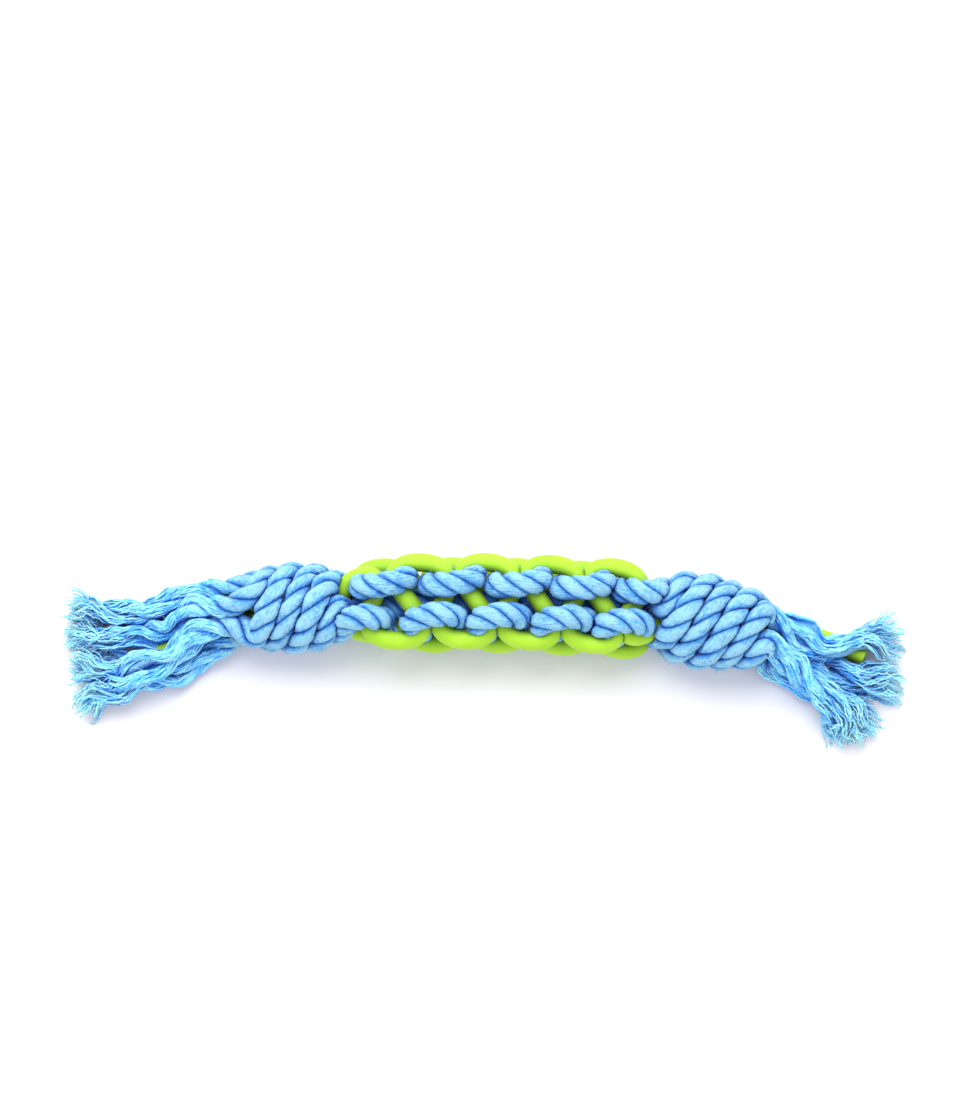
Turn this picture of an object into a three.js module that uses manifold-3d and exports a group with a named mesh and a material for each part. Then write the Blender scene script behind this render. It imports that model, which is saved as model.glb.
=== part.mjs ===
// Rope dog toy: two cotton ropes and two rubber rods woven into a square sinnet round two heart ropes.
// At each end the four ropes wrap once round the rods as a barrel knot, and then spread out as a tail.
// Millimetres, +Z up, +X along the toy, +Y to its far side, standing on Z = 0.
import * as THREE from 'three';
import { mergeVertices } from 'three/addons/utils/BufferGeometryUtils.js';
import Module from 'manifold-3d';

const wasm = await Module();
wasm.setup();

// Ropes and rods. Strands that press on each other flatten there and keep the strand gap.
const ropeDiameter = 10;
const rodDiameter = 8;
const strandGap = 1.4;
const buttGap = 0.3;

// Sinnet: the strands cross once in each layer and turn back between layers.
const layerPitch = 13.75;
const firstLayer = -1;
const lastLayer = 9;
const sinnetWidth = 41.2;
const sinnetHeight = 42.8;
const ropeCrestSpacing = 13.2;
const ropeSway = 2.2;
const ropeLegSpacing = 19.4;
const rodCrestSpacing = 15.9;
const rodLegSpacing = 18.4;
const ropeReach = 6.3;
const rodReach = 7;
const slantShare = { rope: 0.35, heart: 0, rod: 0.2 };
const gatherLayers = 1;
const reachLayers = 1;
const slantLayers = 1.6;
const layerOffset = 3.5;
const offsetLayers = 3;
const strandPerLayer = 4 * layerPitch;
const heartRadius = 3.4;

// Barrel knots
const knotDiameter = { left: 37.6, right: 39.6 };
const knotLength = { left: 35, right: 43 };
const turnHeight = 9.4;
const turnLead = 38;
const knotEndDiameter = { left: 36, right: 32 };
const taperLength = 20;
const shoulderLength = 9;
const rodCoreSpacing = 8.4;
const rodCoreRise = 2;

// The toy's axis: nearly straight in the sinnet, turned in plan at each knot
const sinnetCentreX = 3.4;
const sinnetBow = 2.6;
const bowShares = [0.2, 0.5, 0.8];
const knotShares = [0.5, 1];
const leftEndY = 0.6;
const rightEndY = -1.6;
const knotHeading = {
  left: THREE.MathUtils.degToRad(1.5),
  right: THREE.MathUtils.degToRad(-10),
};

// Depth of the flats that the ropes stand on
const flatDepth = ropeDiameter / 10;

// How far inside a knot its tail's nodes begin
const mouthInset = { left: 0, right: 20 };

// Facets
const strandSides = 8;
const weaveStep = 5;
const knotStep = 3.8;
const neighbourStep = 1.6;
const ownReach = 2 * ropeDiameter;
const tangentStep = 0.5;

// Free stretches past the knots, from the knot to the tip
const tailRoutes = {
  left: {
    farRope: [[-107.9, 9.4, 13.6], [-116.8, 9.1, 12.6], [-125.7, 6.7, 10.8], [-135.1, 2.3, 8.4],
      [-144, -0, 6.2], [-153.8, 0.5, 5.3], [-164.9, 1.8, 5.3], [-175.9, 3.1, 5.3]],
    upperHeartRope: [[-107.9, 1.5, 26.5], [-115.9, 3, 22.5], [-123.6, 1.7, 17.5], [-128.7, -2.5, 13],
      [-134.7, -7.2, 8.8], [-144, -9.4, 6], [-155.1, -10.2, 5.3], [-166.2, -10.7, 5.3],
      [-175.5, -10.2, 5.3]],
    nearRope: [[-107.9, -8.4, 23], [-115.5, -10.6, 20], [-124, -14.6, 17.2], [-132.1, -18.7, 15.4],
      [-140.6, -22.8, 14], [-149.1, -27.7, 12.4], [-156.8, -32.8, 8], [-164, -37.7, 5.6],
      [-171.3, -42.3, 5.3]],
    lowerHeartRope: [[-107.9, -13.7, 9.2], [-115.1, -17.7, 6.6], [-122.3, -21.8, 5.3],
      [-130.4, -25.2, 5.3], [-138.9, -26.9, 5.3], [-147.4, -26.7, 5.3], [-156.8, -25.2, 5.3],
      [-166.2, -24.4, 5.3], [-174.7, -23.9, 5.3]],
    upperRod: [[-107.9, 1.3, 17], [-115.1, 1.8, 12.4], [-121.9, 1.9, 7.8], [-129.1, 1.9, 4.4]],
    lowerRod: [[-107, -4.3, 13], [-115.9, -7.7, 9.2], [-124.9, -11.2, 6.2], [-133, -15.2, 4.2],
      [-140.6, -18.2, 4.2], [-145.3, -19.9, 4.2]],
  },
  right: {
    upperHeartRope: [[119.8, -2.3, 22.5], [125.7, -5.4, 19.5], [131.7, -10.2, 16],
      [137.6, -14.4, 13.6], [144, -16.6, 12.8], [150.4, -14.9, 12.4], [156.8, -12.1, 10.2],
      [164, -10.9, 7.2], [171.3, -11.1, 5.7], [178.1, -11.9, 5.3]],
    nearRope: [[119.4, -14.7, 26], [124, -16.5, 22.6], [128.3, -20.4, 19.6], [133, -25.7, 17],
      [138.5, -30.6, 15], [144, -35.2, 14], [148.7, -40.6, 12.6], [152.1, -46.2, 9], [154.2, -51.4, 6],
      [155.5, -55.6, 5.3]],
    farRope: [[119.4, -7.3, 5.8], [125.7, -13.2, 5.3], [133.4, -18.8, 5.3], [141.9, -23.1, 5.3],
      [151.3, -26.1, 5.3], [160.6, -28.2, 5.3], [169.1, -29.5, 5.3], [177.6, -30.8, 5.3]],
    lowerHeartRope: [[118.9, -21.3, 8.4], [124.5, -24.9, 6.4], [130.8, -28.6, 5.3],
      [138.1, -32.1, 5.3], [145.7, -35.7, 5.3], [153, -39.3, 5.3], [159.3, -44.1, 5.3],
      [164.5, -50.1, 5.3]],
    lowerRod: [[118.9, -4.5, 15.4], [125.7, -5.7, 10.4], [132.5, -7.3, 6.2], [140.2, -9.7, 4.2],
      [148.7, -12.7, 4.2], [156.4, -15.9, 4.2], [164, -19.1, 4.2]],
    upperRod: [[118.9, -10.7, 17], [125.7, -11.8, 11.8], [131.7, -14.5, 9.4], [137.6, -16.3, 6.4],
      [144.5, -17.8, 4.4]],
  },
};

const ropeMaterial = new THREE.MeshStandardMaterial({ color: 0x6fb4ee, roughness: 0.95, metalness: 0 });
const rodMaterial = new THREE.MeshStandardMaterial({ color: 0xa5eb2d, roughness: 0.45, metalness: 0 });

// Facing is 1 for the far rope and the upper strands, -1 for their partners.
const strands = {
  farRope: { kind: 'rope', facing: 1, node: 'far_sinnet_rope' },
  nearRope: { kind: 'rope', facing: -1, node: 'near_sinnet_rope' },
  upperHeartRope: { kind: 'heart', facing: 1, node: 'upper_heart_rope' },
  lowerHeartRope: { kind: 'heart', facing: -1, node: 'lower_heart_rope' },
  upperRod: { kind: 'rod', facing: 1, node: 'upper_rod' },
  lowerRod: { kind: 'rod', facing: -1, node: 'lower_rod' },
};

const radius = { rope: ropeDiameter / 2, heart: ropeDiameter / 2, rod: rodDiameter / 2 };
const ropeSwing = (sinnetHeight - ropeDiameter) / 2;
const rodSwing = (sinnetWidth - rodDiameter) / 2;
const wrapRadius = {
  left: (knotDiameter.left - turnHeight) / 2,
  right: (knotDiameter.right - turnHeight) / 2,
};
const sinnetLength = (lastLayer - firstLayer) * layerPitch;
const middleLayer = (firstLayer + lastLayer) / 2;
const sinnetAxisHeight = sinnetHeight / 2 - flatDepth;
const knotAxisHeight = {
  left: knotDiameter.left / 2 - flatDepth,
  right: knotDiameter.right / 2 - flatDepth,
};
const heartAngles = { left: 3 * Math.PI / 4, right: Math.PI / 4 };
const up = new THREE.Vector3(0, 0, 1);

function smoothStep(value) {
  const x = THREE.MathUtils.clamp(value, 0, 1);
  return x * x * (3 - 2 * x);
}

function outwardOf(end) {
  return end === 'left' ? -1 : 1;
}

// Axis
function joinOf(end) {
  const x = sinnetCentreX + outwardOf(end) * sinnetLength / 2;
  const z = (sinnetAxisHeight + knotAxisHeight[end]) / 2;
  return new THREE.Vector3(x, end === 'left' ? leftEndY : rightEndY, z);
}

function knotPoint(end, share) {
  const heading = new THREE.Vector3(Math.cos(knotHeading[end]), Math.sin(knotHeading[end]), 0);
  const point = joinOf(end).addScaledVector(heading, outwardOf(end) * knotLength[end] * share);
  return point.setZ(knotAxisHeight[end]);
}

function bowPoint(share) {
  const point = joinOf('left').lerp(joinOf('right'), share).setZ(sinnetAxisHeight);
  point.y += sinnetBow * 4 * share * (1 - share);
  return point;
}

const axis = new THREE.CatmullRomCurve3([
  ...knotShares.map((share) => knotPoint('left', share)).reverse(),
  joinOf('left'),
  ...bowShares.map(bowPoint),
  joinOf('right'),
  ...knotShares.map((share) => knotPoint('right', share)),
], false, 'centripetal');
const axisSteps = 400;
axis.arcLengthDivisions = axisSteps * 2;
const axisLength = axis.getLength();
const axisFrames = [];
for (let step = 0; step <= axisSteps; step += 1) {
  const along = axis.getTangentAt(step / axisSteps).setZ(0).normalize();
  axisFrames.push({ at: axis.getPointAt(step / axisSteps), along, side: up.clone().cross(along) });
}

// A place given by its distance from the axis's middle, its distance to the far side, and its rise
function place(distance, side, rise) {
  const run = distance + axisLength / 2;
  const held = THREE.MathUtils.clamp(run, 0, axisLength);
  const step = Math.min(Math.floor((held / axisLength) * axisSteps), axisSteps - 1);
  const mix = (held / axisLength) * axisSteps - step;
  const before = axisFrames[step];
  const after = axisFrames[step + 1];
  return before.at.clone().lerp(after.at, mix)
    .addScaledVector(before.along, run - held)
    .addScaledVector(before.side.clone().lerp(after.side, mix), side)
    .addScaledVector(up, rise);
}

// A rope of the sinnet waves up and down beside the axis, a rod waves from side to side over or under
// it, and a heart rope runs straight between them.
function sinnetPoint({ kind, facing }, layer) {
  const fromEnd = Math.min(layer - firstLayer, lastLayer - layer);
  const full = smoothStep(fromEnd / gatherLayers);
  const legShare = (1 + Math.cos(2 * Math.PI * layer)) / 2;
  const wave = Math.sin(Math.PI * layer) * facing;
  const runShare = (layer - firstLayer) / (lastLayer - firstLayer);
  const heartAngle = THREE.MathUtils.lerp(heartAngles.left, heartAngles.right, runShare);
  let side = heartRadius * Math.cos(heartAngle) * facing;
  let rise = heartRadius * Math.sin(heartAngle) * facing;
  let reach = 0;
  if (kind === 'rope') {
    const sway = ropeSway * Math.cos(Math.PI * layer) * smoothStep(fromEnd / reachLayers);
    side = (THREE.MathUtils.lerp(ropeCrestSpacing, ropeLegSpacing, legShare) / 2 - sway) * facing;
    rise = ropeSwing * wave;
    reach = ropeReach;
  }
  if (kind === 'rod') {
    const coreSide = (runShare < 0.5 ? 1 : -1) * rodCoreSpacing / 2 * facing;
    const level = THREE.MathUtils.lerp(rodCrestSpacing, rodLegSpacing, legShare) / 2 * facing;
    side = THREE.MathUtils.lerp(coreSide, -rodSwing * wave, full);
    rise = THREE.MathUtils.lerp(rodCoreRise * facing, level, full);
    reach = rodReach;
  }
  const slant = slantShare[kind] * side * smoothStep(fromEnd / slantLayers);
  const bulge = reach * Math.sin(2 * Math.PI * layer) * smoothStep(fromEnd / reachLayers);
  const offset = layerOffset * smoothStep(fromEnd / offsetLayers);
  return place((layer - middleLayer) * layerPitch + offset - slant - bulge, side, rise);
}

// Where each rope starts its turn round the rods, seen along the axis from the left, from the far side
const startAngles = {
  left: { farRope: 0, upperHeartRope: Math.PI / 2, nearRope: Math.PI, lowerHeartRope: 3 * Math.PI / 2 },
  right: { farRope: 0, lowerHeartRope: Math.PI / 2, nearRope: Math.PI, upperHeartRope: 3 * Math.PI / 2 },
};

// A point in a knot, by its distance outward from the sinnet
function knotPlace(end, name, run) {
  const { kind, facing } = strands[name];
  const outward = outwardOf(end);
  const distance = outward * (sinnetLength / 2 + run);
  if (kind === 'rod') {
    return place(distance, -outward * facing * rodCoreSpacing / 2, facing * rodCoreRise);
  }
  const startRadius = kind === 'heart' ? heartRadius : ropeLegSpacing / 2;
  const spread = smoothStep((run + (kind === 'heart' ? shoulderLength / 2 : 0)) / shoulderLength);
  const taper = smoothStep((run - knotLength[end] + taperLength) / taperLength);
  const endRadius = (knotEndDiameter[end] - turnHeight) / 2;
  const fullRadius = THREE.MathUtils.lerp(wrapRadius[end], endRadius, taper);
  const reached = THREE.MathUtils.lerp(startRadius, fullRadius, spread);
  const turned = Math.max(run, 0) / turnLead * 2 * Math.PI;
  const angle = -outward * (startAngles[end][name] + turned);
  return place(distance, reached * Math.cos(angle), reached * Math.sin(angle));
}

// A strand's route from tip to tip in three stretches: left tail, held part and right tail
function heldPoints(name) {
  const points = [];
  const inset = strands[name].kind === 'heart' ? shoulderLength / 2 / layerPitch : 0;
  for (let run = knotLength.left; run > 0; run -= knotStep) {
    points.push(knotPlace('left', name, run));
  }
  const layerStep = weaveStep / strandPerLayer;
  for (let layer = firstLayer + inset; layer <= lastLayer - inset; layer += layerStep) {
    points.push(sinnetPoint(strands[name], layer));
  }
  const rightRun = [];
  for (let run = knotLength.right; run > 0; run -= knotStep) {
    rightRun.unshift(knotPlace('right', name, run));
  }
  return [...points, ...rightRun];
}

function tailPoints(end, name) {
  return tailRoutes[end][name].map((point) => new THREE.Vector3(...point));
}

// Each strand is one curve from tip to tip. Its mouths are where the nodes of its tails begin.
const spanDivisions = 6;
const curves = {};
for (const name of Object.keys(strands)) {
  const left = tailPoints('left', name).reverse();
  const held = heldPoints(name);
  const points = [...left, ...held, ...tailPoints('right', name)];
  const curve = new THREE.CatmullRomCurve3(points, false, 'centripetal');
  curve.arcLengthDivisions = spanDivisions * (points.length - 1);
  const lengths = curve.getLengths();
  const leftMouth = lengths[spanDivisions * (left.length - 1)] + mouthInset.left;
  const rightMouth = lengths[spanDivisions * (left.length + held.length)] - mouthInset.right;
  curves[name] = { curve, length: curve.getLength(), mouths: [leftMouth, rightMouth] };
}

function stations(from, to, step) {
  const count = Math.max(Math.round((to - from) / step), 1);
  return Array.from({ length: count + 1 }, (unused, i) => THREE.MathUtils.lerp(from, to, i / count));
}

function pointAlong(name, along) {
  return curves[name].curve.getPointAt(THREE.MathUtils.clamp(along / curves[name].length, 0, 1));
}

const neighbours = [];
for (const name of Object.keys(strands)) {
  for (const along of stations(0, curves[name].length, neighbourStep)) {
    neighbours.push({ name, along, at: pointAlong(name, along), radius: radius[strands[name].kind] });
  }
}

// How far a strand reaches from its middle in one direction: its own radius, or less where another
// strand shares the space, each in proportion to its radius.
function reachOf(own, centre, direction, near) {
  let reached = own.radius;
  for (const other of near) {
    const apart = centre.clone().sub(other.at);
    const ratio = other.radius / own.radius;
    const facing = direction.dot(apart);
    const a = 1 - ratio * ratio;
    const b = 2 * (facing - ratio * strandGap);
    const c = apart.lengthSq() - strandGap * strandGap;
    const root = firstRoot(a, b, c);
    reached = Math.min(reached, root);
  }
  return reached;
}

function firstRoot(a, b, c) {
  if (Math.abs(a) < Number.EPSILON) {
    return b < 0 ? -c / b : Infinity;
  }
  const inner = b * b - 4 * a * c;
  if (inner < 0) {
    return Infinity;
  }
  const roots = [(-b - Math.sqrt(inner)) / (2 * a), (-b + Math.sqrt(inner)) / (2 * a)];
  return Math.min(...roots.map((root) => (root > 0 ? root : Infinity)));
}

// Points on each strand's surface
const skins = Object.fromEntries(Object.keys(strands).map((name) => [name, []]));

// A closed faceted body along a stretch of a strand
function strandGeometry(name, from, to) {
  const own = { radius: radius[strands[name].kind] };
  const places = stations(from, to, weaveStep);
  const centres = places.map((along) => pointAlong(name, along));
  const positions = [];
  let side = null;
  centres.forEach((centre, i) => {
    const tangent = pointAlong(name, places[i] + tangentStep).sub(pointAlong(name, places[i] - tangentStep));
    tangent.normalize();
    side = side ?? tangent.clone().cross(up).normalize();
    side.addScaledVector(tangent, -side.dot(tangent)).normalize();
    const across = tangent.clone().cross(side);
    const near = neighbours.filter((other) => {
      const isOwn = other.name === name && Math.abs(other.along - places[i]) < ownReach;
      return !isOwn && other.at.distanceTo(centre) < own.radius + other.radius + strandGap;
    });
    for (let corner = 0; corner < strandSides; corner += 1) {
      const angle = 2 * Math.PI * corner / strandSides;
      const direction = side.clone().multiplyScalar(Math.cos(angle)).addScaledVector(across, Math.sin(angle));
      const at = centre.clone().addScaledVector(direction, reachOf(own, centre, direction, near));
      positions.push(at);
      skins[name].push({ along: places[i], at });
    }
  });
  const startCap = positions.length;
  positions.push(centres[0], centres[centres.length - 1]);
  const faces = [];
  for (let ring = 0; ring < centres.length - 1; ring += 1) {
    for (let corner = 0; corner < strandSides; corner += 1) {
      const next = (corner + 1) % strandSides;
      const [a, b] = [ring * strandSides + corner, ring * strandSides + next];
      faces.push(a, b, b + strandSides, a, b + strandSides, a + strandSides);
    }
  }
  for (let corner = 0; corner < strandSides; corner += 1) {
    const next = (corner + 1) % strandSides;
    const last = (centres.length - 1) * strandSides;
    faces.push(startCap, next, corner, startCap + 1, last + corner, last + next);
  }
  const geometry = new THREE.BufferGeometry();
  geometry.setAttribute('position', new THREE.Float32BufferAttribute(positions.flatMap((p) => p.toArray()), 3));
  geometry.setIndex(faces);
  return geometry;
}

// What lies under the floor is cut away, so that the toy stands on flats.
function solidOf(geometry) {
  const merged = mergeVertices(geometry);
  return new wasm.Manifold(new wasm.Mesh({
    numProp: 3,
    vertProperties: new Float32Array(merged.attributes.position.array),
    triVerts: new Uint32Array(merged.index.array),
  }));
}

function standing(geometry) {
  geometry.computeBoundingBox();
  if (geometry.boundingBox.min.z >= 0) {
    return geometry;
  }
  const size = geometry.boundingBox.getSize(new THREE.Vector3());
  const block = new THREE.BoxGeometry(2 * size.x, 2 * size.y, sinnetHeight);
  const middle = geometry.boundingBox.getCenter(new THREE.Vector3());
  block.translate(middle.x, middle.y, -sinnetHeight / 2);
  block.deleteAttribute('normal');
  block.deleteAttribute('uv');
  const mesh = solidOf(geometry).subtract(solidOf(block)).getMesh();
  const cut = new THREE.BufferGeometry();
  cut.setAttribute('position', new THREE.BufferAttribute(mesh.vertProperties, 3));
  cut.setIndex(new THREE.BufferAttribute(mesh.triVerts, 1));
  return cut;
}

const toy = new THREE.Group();

function addStretch(name, node, from, to) {
  const material = strands[name].kind === 'rod' ? rodMaterial : ropeMaterial;
  const mesh = new THREE.Mesh(standing(strandGeometry(name, from, to)), material.clone());
  mesh.name = node;
  toy.add(mesh);
}

for (const [name, { kind, node }] of Object.entries(strands)) {
  const { length, mouths } = curves[name];
  if (kind === 'rod') {
    addStretch(name, node, 0, length);
  } else {
    addStretch(name, node, ...mouths);
    addStretch(name, `left_tail_of_${node}`, 0, mouths[0] - buttGap);
    addStretch(name, `right_tail_of_${node}`, mouths[1] + buttGap, length);
  }
}

// Each strand's least gap to itself, from tip to tip
for (const [name, { node }] of Object.entries(strands)) {
  let least = Infinity;
  for (const one of skins[name]) {
    for (const other of skins[name]) {
      if (other.along - one.along > ownReach) {
        least = Math.min(least, one.at.distanceTo(other.at));
      }
    }
  }
  console.log(`${node}: least gap to itself ${least.toFixed(2)} mm`);
}

// The origin is under the middle of the whole toy.
const middle = new THREE.Box3().setFromObject(toy).getCenter(new THREE.Vector3());
toy.position.set(-middle.x, -middle.y, 0);

export default toy;
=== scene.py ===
import math

import bpy
import numpy as np
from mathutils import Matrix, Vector


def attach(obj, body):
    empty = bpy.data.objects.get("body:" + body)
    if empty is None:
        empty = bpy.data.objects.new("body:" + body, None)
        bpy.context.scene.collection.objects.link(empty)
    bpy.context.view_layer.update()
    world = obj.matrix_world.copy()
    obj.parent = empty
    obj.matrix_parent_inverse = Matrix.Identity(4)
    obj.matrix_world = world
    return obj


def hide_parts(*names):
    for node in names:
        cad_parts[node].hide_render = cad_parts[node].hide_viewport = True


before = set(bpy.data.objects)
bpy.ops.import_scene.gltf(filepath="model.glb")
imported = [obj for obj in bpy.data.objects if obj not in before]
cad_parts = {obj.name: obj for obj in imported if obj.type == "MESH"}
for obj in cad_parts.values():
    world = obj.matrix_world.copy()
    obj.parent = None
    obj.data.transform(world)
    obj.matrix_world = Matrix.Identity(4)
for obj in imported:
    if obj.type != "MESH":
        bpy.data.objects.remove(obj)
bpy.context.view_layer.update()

# Lengths are in millimetres where nothing else is said.
MM = 0.001
TURN = 2 * math.pi
UP, FAR = np.array([0.0, 0.0, 1.0]), np.array([0.0, 1.0, 0.0])
# Small amounts that keep a division or a rounding from going wrong
TINY, SMALL = 1e-9, 1e-6


def add(name, data):
    """A new object in the scene."""
    made = bpy.data.objects.new(name, data)
    bpy.context.scene.collection.objects.link(made)
    return made


# The middle of the whole toy, where the CAD frame starts, in the numbers of the routes below
SHIFT = np.array([1.127, -17.221, 0.0])

# Camera: level with the toy's length, nearly overhead, through a long lens
MM_PER_PIXEL = 0.4255
PICTURE_WIDTH, PICTURE_HEIGHT = 960, 1120
ELEVATION = math.radians(83.5)
CAMERA_DISTANCE = 1600
CLIP_END_METRES = 20
SENSOR_WIDTH = 36
# The start of the routes' numbers, raised to the sinnet's middle, and where it lies in the picture
SINNET_LEVEL = 20.8
SINNET_PIXEL = (482.5, 608)

camera_up = np.array([0.0, math.sin(ELEVATION), math.cos(ELEVATION)])
camera_back = np.array([0.0, -math.cos(ELEVATION), math.sin(ELEVATION)])
aim = np.array([0.0, 0.0, SINNET_LEVEL]) - SHIFT
aim[0] -= (SINNET_PIXEL[0] - PICTURE_WIDTH / 2) * MM_PER_PIXEL
aim += camera_up * (SINNET_PIXEL[1] - PICTURE_HEIGHT / 2) * MM_PER_PIXEL
camera_data = bpy.data.cameras.new("camera")
camera_data.sensor_fit = "HORIZONTAL"
camera_data.sensor_width = SENSOR_WIDTH
camera_data.lens = SENSOR_WIDTH * CAMERA_DISTANCE / (PICTURE_WIDTH * MM_PER_PIXEL)
camera_data.clip_end = CLIP_END_METRES
camera = add("camera", camera_data)
camera.location = (aim + camera_back * CAMERA_DISTANCE) * MM
camera.rotation_euler = (math.pi / 2 - ELEVATION, 0, 0)
bpy.context.scene.camera = camera

# Strands, the same sizes as in the CAD: ropes and rods
ROPE_RADIUS, ROD_RADIUS = 5.0, 4.0
FLAT_DEPTH = 1.0

# Sinnet: its layers, and how far two strands of a pair stand apart at their crests and on the legs between
LAYER_PITCH, FIRST_LAYER, LAST_LAYER = 13.75, -1, 9
SINNET_WIDTH, SINNET_HEIGHT = 41.2, 42.8
ROPE_CREST_SPACING, ROPE_SWAY, ROPE_LEG_SPACING = 13.2, 2.2, 19.4
ROD_CREST_SPACING, ROD_LEG_SPACING = 15.9, 18.4
ROPE_REACH, ROD_REACH = 6.3, 7.0
SLANT_SHARE = {"rope": 0.35, "heart": 0, "rod": 0.2}
GATHER_LAYERS, REACH_LAYERS, SLANT_LAYERS = 1.0, 1.0, 1.6
LAYER_OFFSET, OFFSET_LAYERS = 3.5, 3.0
STRAND_PER_LAYER = 55
HEART_RADIUS = 3.4
HEART_ANGLES = {"left": 3 * math.pi / 4, "right": math.pi / 4}
SINNET_CENTRE_X, SINNET_BOW = 3.4, 2.6

# Knots: four ropes that turn once round the rods
KNOT_DIAMETER = {"left": 37.6, "right": 39.6}
KNOT_END_DIAMETER = {"left": 36, "right": 32}
KNOT_LENGTH = {"left": 35, "right": 43}
TURN_HEIGHT, TURN_LEAD, TAPER_LENGTH, SHOULDER_LENGTH = 9.4, 38, 20, 9
ROD_CORE_SPACING, ROD_CORE_RISE = 8.4, 2
END_Y = {"left": 0.6, "right": -1.6}
HEADING = {"left": math.radians(1.5), "right": math.radians(-10)}
# The ropes round each knot, a quarter turn apart
TURN_ORDER = {
    "left": ["far_rope", "upper_heart", "near_rope", "lower_heart"],
    "right": ["far_rope", "lower_heart", "near_rope", "upper_heart"],
}
# How far inside the knot's end each tail begins
MOUTH_INSET = {"left": 0, "right": 20}

# From point to point of a line: along the strand in the weave, and along the axis in a knot
WEAVE_STEP, KNOT_STEP = 5, 3.8

ROPE_SWING = SINNET_HEIGHT / 2 - ROPE_RADIUS
ROD_SWING = SINNET_WIDTH / 2 - ROD_RADIUS
SINNET_LENGTH = (LAST_LAYER - FIRST_LAYER) * LAYER_PITCH
MIDDLE_LAYER = (FIRST_LAYER + LAST_LAYER) / 2
SINNET_AXIS_HEIGHT = SINNET_HEIGHT / 2 - FLAT_DEPTH
KNOT_AXIS_HEIGHT = {end: KNOT_DIAMETER[end] / 2 - FLAT_DEPTH for end in KNOT_DIAMETER}
KNOT_RUNS = {end: np.arange(KNOT_LENGTH[end], 0, -KNOT_STEP) for end in KNOT_LENGTH}

# From the knot to the tip. The CAD has the same routes, but some ropes are moved here by up to 3.2 mm, to
# close gaps between them.
LEFT_TAILS = {
    "far_rope": [
        [-107.9, 7.6, 13.6], [-116.8, 7.2, 12.6], [-125.7, 5.9, 10.8], [-135.1, 2.3, 8.4],
        [-144, -0.4, 6.2], [-153.8, -0.4, 5.3], [-164.9, 0.4, 5.3], [-175.9, 1.2, 5.3],
    ],
    "upper_heart": [
        [-107.9, -0.4, 26.5], [-115.9, 0.7, 22.5], [-123.6, 0.6, 17.5], [-128.7, -2.5, 13],
        [-134.7, -7.2, 8.8], [-144, -9.4, 6], [-155.1, -10.2, 5.3], [-166.2, -10.7, 5.3],
        [-175.5, -10.2, 5.3],
    ],
    "near_rope": [
        [-107.9, -6.2, 23.4], [-115.5, -7.4, 20.2], [-124, -12.4, 17.2], [-132.1, -19.6, 15.4],
        [-140.6, -25.2, 14], [-149.1, -29.6, 12.4], [-156.8, -33.4, 8], [-164, -37.2, 5.6],
        [-171.3, -41, 5.3],
    ],
    "lower_heart": [
        [-107.9, -12.4, 9.2], [-115.1, -16.7, 6.6], [-122.3, -21.3, 5.3], [-130.4, -25.8, 5.3],
        [-138.9, -28.2, 5.3], [-147.4, -28, 5.3], [-156.8, -25.8, 5.3], [-166.2, -24.4, 5.3],
        [-174.7, -23.9, 5.3],
    ],
    "upper_rod": [[-107.9, 1.3, 17], [-115.1, 1.8, 12.4], [-121.9, 1.9, 7.8], [-129.1, 1.9, 4.4]],
    "lower_rod": [
        [-107, -4.3, 13], [-115.9, -7.7, 9.2], [-124.9, -11.2, 6.2], [-133, -15.2, 4.2],
        [-140.6, -18.2, 4.2], [-145.3, -19.9, 4.2],
    ],
}
RIGHT_TAILS = {
    "upper_heart": [
        [119.8, -2.3, 22.5], [125.7, -5.4, 19.5], [131.7, -10.2, 16], [137.6, -14.7, 13.6],
        [144, -17.4, 12.8], [150.4, -16.6, 12.4], [156.8, -14.3, 10.4], [164, -13, 7.6],
        [171.3, -12.4, 5.8], [178.1, -12.4, 5.3],
    ],
    "near_rope": [
        [119.4, -14.7, 26], [124, -16.5, 22.6], [128.3, -20.4, 19.6], [133, -25.7, 17],
        [138.5, -30.6, 15], [144, -35.2, 14], [148.7, -40.6, 12.6], [152.1, -46.2, 9],
        [154.2, -51.4, 6], [155.5, -55.6, 5.3],
    ],
    "far_rope": [
        [119.4, -7.3, 5.8], [125.7, -13.2, 5.3], [133.4, -18.8, 5.3], [141.9, -23.1, 5.3],
        [151.3, -26.1, 5.3], [160.6, -28.2, 5.3], [169.1, -29.5, 5.3], [177.6, -30.8, 5.3],
    ],
    "lower_heart": [
        [118.9, -21.3, 8.4], [124.5, -24.9, 6.4], [130.8, -28.6, 5.3], [138.1, -32.1, 5.3],
        [145.7, -35.7, 5.3], [153, -39.3, 5.3], [159.3, -44.1, 5.3], [164.5, -50.1, 5.3],
    ],
    "lower_rod": [
        [118.9, -4.5, 15.4], [125.7, -5.7, 10.4], [132.5, -7.3, 6.2], [140.2, -9.7, 4.2],
        [148.7, -12.7, 4.2], [156.4, -15.9, 4.2], [164, -19.1, 4.2],
    ],
    "upper_rod": [
        [118.9, -10.7, 17], [125.7, -11.8, 11.8], [131.7, -14.5, 9.4], [137.6, -16.3, 6.4],
        [144.5, -17.8, 4.4],
    ],
}
TAIL_ROUTES = {"left": LEFT_TAILS, "right": RIGHT_TAILS}

# Kind, the side that a strand faces as 1 or -1, and CAD node
STRANDS = {
    "far_rope": ("rope", 1, "far_sinnet_rope"),
    "near_rope": ("rope", -1, "near_sinnet_rope"),
    "upper_heart": ("heart", 1, "upper_heart_rope"),
    "lower_heart": ("heart", -1, "lower_heart_rope"),
    "upper_rod": ("rod", 1, "upper_rod"),
    "lower_rod": ("rod", -1, "lower_rod"),
}
ROPES = [name for name in STRANDS if STRANDS[name][0] != "rod"]


def ease(value):
    x = np.clip(value, 0, 1)
    return x * x * (3 - 2 * x)


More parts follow.
